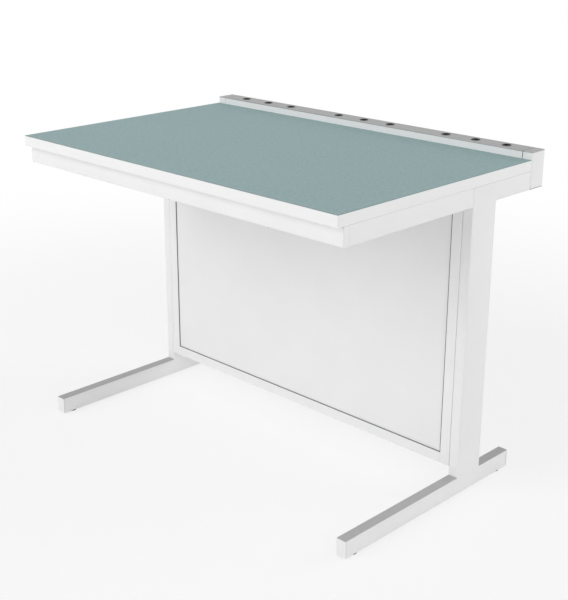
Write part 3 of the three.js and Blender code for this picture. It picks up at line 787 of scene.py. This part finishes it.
def makeFasteners():
    # a place lies from a node's lowest corner by shares of its size in x, y and z
    for side in sides:
        arms = {"front_arm_" + side: screw["frontArm"], "rear_arm_" + side: screw["rearArm"]}
        places = []
        for node, shares in arms.items():
            low, high = boxOf(node)
            places += [low + (high - low) * (0.5, share, 0) for share in shares]
        makeScrews("worktop_screws_" + side, places, "z", -1)
    low, high = boxOf("front_rail")
    places = [low + (high - low) * (share, 0.5, 0) for share in screw["rail"]]
    makeScrews("worktop_screws_rail", places, "z", -1)
    boardBack = boxOf("panel_infill")[1][1]
    for side, inward, face in (("left", 1, 1), ("right", -1, 0)):
        low, high = boxOf("panel_stile_" + side)
        low[1] = boardBack  # only the part of the stile behind the board
        places = [low + (high - low) * (face, 0.5, share) for share in screw["stile"]]
        makeScrews("panel_screws_" + side, places, "x", inward)
    low, high = boxOf("duct_trough")
    middle, plateFace = (low[1] + high[1]) / 2, duct["endGap"] + duct["plate"]
    for side, inward, end in (("left", 1, low[0]), ("right", -1, high[0])):
        places = [(end + inward * plateFace, middle, low[2] + lift) for lift in screw["troughLift"]]
        makeScrews("trough_screws_" + side, places, "x", inward)


makeWorktop()
makeBands()
print("worktop done")
makeTube("front_rail", "x", "front_rail_tube")
for side in sides:
    makeLeg(side)
    for end in footEnds:
        makeTread("foot_tread_" + end + "_" + side)
        makeGlide(end + "_" + side)
makeCaps()
print("leg frames done")
makePanel()
print("modesty panel done")
makeTrough()
makeCover()
for node in bushNodes():
    makeBush(node)
print("service duct done")
makeFasteners()
print("fasteners done")


# camera, solved from the outlines in a picture of 568 x 600 pixels

cameraFacts = dict(place=(2.1908, -2.1901, 1.5473), look=(-0.66597, 0.66760, -0.33287), focalPixels=1147.52,
                   centrePixel=(275.59, 293.29), picture=(568, 600), sensor=36.0, farEnd=200)


def makeCamera():
    # the lens is the focal length as a share of the picture's longer side, times the sensor; the shift is
    # the way from the pixel that the camera looks at to the picture's middle, as a share of the same side
    data = bpy.data.cameras.new("benchCamera")
    width, height = cameraFacts["picture"]
    longSide = max(width, height)
    data.sensor_width = cameraFacts["sensor"]
    data.lens = cameraFacts["focalPixels"] / longSide * cameraFacts["sensor"]
    data.shift_x = (width / 2 - cameraFacts["centrePixel"][0]) / longSide
    data.shift_y = (cameraFacts["centrePixel"][1] - height / 2) / longSide
    data.clip_end = cameraFacts["farEnd"]
    camera = bpy.data.objects.new("benchCamera", data)
    camera.location = cameraFacts["place"]
    camera.rotation_euler = Vector(cameraFacts["look"]).to_track_quat("-Z", "Y").to_euler()
    bpy.context.scene.collection.objects.link(camera)
    bpy.context.scene.camera = camera


# floor and light

studio = dict(floorSize=80.0, floorTone="#f8f8f8", glowNear=0.68, fadeFrom=1.1, fadeTo=3.4,
              worldStrength=0.5, aim=(0, 0, 0.5),
              lamps=[dict(name="keySoft", place=(-2.6, -6.3, 3.9), size=6.0, watts=243),
                     dict(name="sideSoft", place=(6.6, -2.4, 2.5), size=4.4, watts=72),
                     dict(name="backSoft", place=(4.2, 6.2, 3.1), size=5.0, watts=166)])


def seenRay(tree):
    # 1 for what the camera sees, straight, mirrored or through glass, 0 for light that falls on the bench
    path = addNode(tree, "ShaderNodeLightPath").outputs
    direct = addNode(tree, "ShaderNodeMath", {0: path["Is Camera Ray"], 1: path["Is Glossy Ray"]},
                     operation="MAXIMUM")
    seen = addNode(tree, "ShaderNodeMath", {0: direct.outputs[0], 1: path["Is Transmission Ray"]},
                   operation="MAXIMUM")
    return seen.outputs[0]


def paperFloor():
    # matt white paper that glows where it is seen, partly near the bench and fully far off, so that the
    # floor is white and the shadows stay; from below it is clear
    material, tree, shader, place = newMaterial("paperFloor", {"Roughness": 0.9,
                                                               "Base Color": toLinear(studio["floorTone"])})
    glow = addNode(tree, "ShaderNodeEmission", {"Color": (1, 1, 1, 1), "Strength": 1.0})
    away = addNode(tree, "ShaderNodeVectorMath", {0: place}, operation="LENGTH")
    fade = addNode(tree, "ShaderNodeMapRange", {"Value": away.outputs["Value"],
                                                "From Min": studio["fadeFrom"], "From Max": studio["fadeTo"],
                                                "To Min": studio["glowNear"], "To Max": 1.0},
                   interpolation_type="SMOOTHSTEP")
    share = addNode(tree, "ShaderNodeMath", {0: seenRay(tree), 1: fade.outputs["Result"]},
                    operation="MULTIPLY")
    blend = addNode(tree, "ShaderNodeMixShader", {0: share.outputs[0], 1: shader.outputs[0],
                                                  2: glow.outputs[0]})
    side = addNode(tree, "ShaderNodeNewGeometry")
    clear = addNode(tree, "ShaderNodeBsdfTransparent")
    sheet = addNode(tree, "ShaderNodeMixShader", {0: side.outputs["Backfacing"], 1: blend.outputs[0],
                                                  2: clear.outputs[0]})
    tree.links.new(sheet.outputs[0], tree.nodes["Material Output"].inputs["Surface"])
    return material


def makeFloor():
    # one large square at the height of the glides' soles
    half = studio["floorSize"] / 2
    corners = [(-half, -half, 0), (half, -half, 0), (half, half, 0), (-half, half, 0)]
    mesh = bpy.data.meshes.new("studioFloor")
    mesh.from_pydata(corners, [], [(0, 1, 2, 3)])
    mesh.materials.append(paperFloor())
    floor = bpy.data.objects.new("studioFloor", mesh)
    bpy.context.scene.collection.objects.link(floor)


def makeLight():
    # a white world, full where it is seen and weaker as light, and round lamps that all look at the bench
    world = bpy.data.worlds.new("studioWorld")
    bpy.context.scene.world = world
    world.use_nodes = True
    tree = world.node_tree
    background = tree.nodes["Background"]
    background.inputs["Color"].default_value = (1, 1, 1, 1)
    strength = addNode(tree, "ShaderNodeMapRange", {"Value": seenRay(tree),
                                                    "To Min": studio["worldStrength"], "To Max": 1.0})
    tree.links.new(strength.outputs["Result"], background.inputs["Strength"])
    for lamp in studio["lamps"]:
        data = bpy.data.lights.new(lamp["name"], "AREA")
        data.shape = "DISK"
        data.size = lamp["size"]
        data.energy = lamp["watts"]
        light = bpy.data.objects.new(lamp["name"], data)
        light.location = lamp["place"]
        towards = Vector(studio["aim"]) - Vector(lamp["place"])
        light.rotation_euler = towards.to_track_quat("-Z", "Y").to_euler()
        bpy.context.scene.collection.objects.link(light)


makeCamera()
makeFloor()
makeLight()
bpy.context.scene.view_settings.view_transform = "Standard"
print("camera, floor and light done")
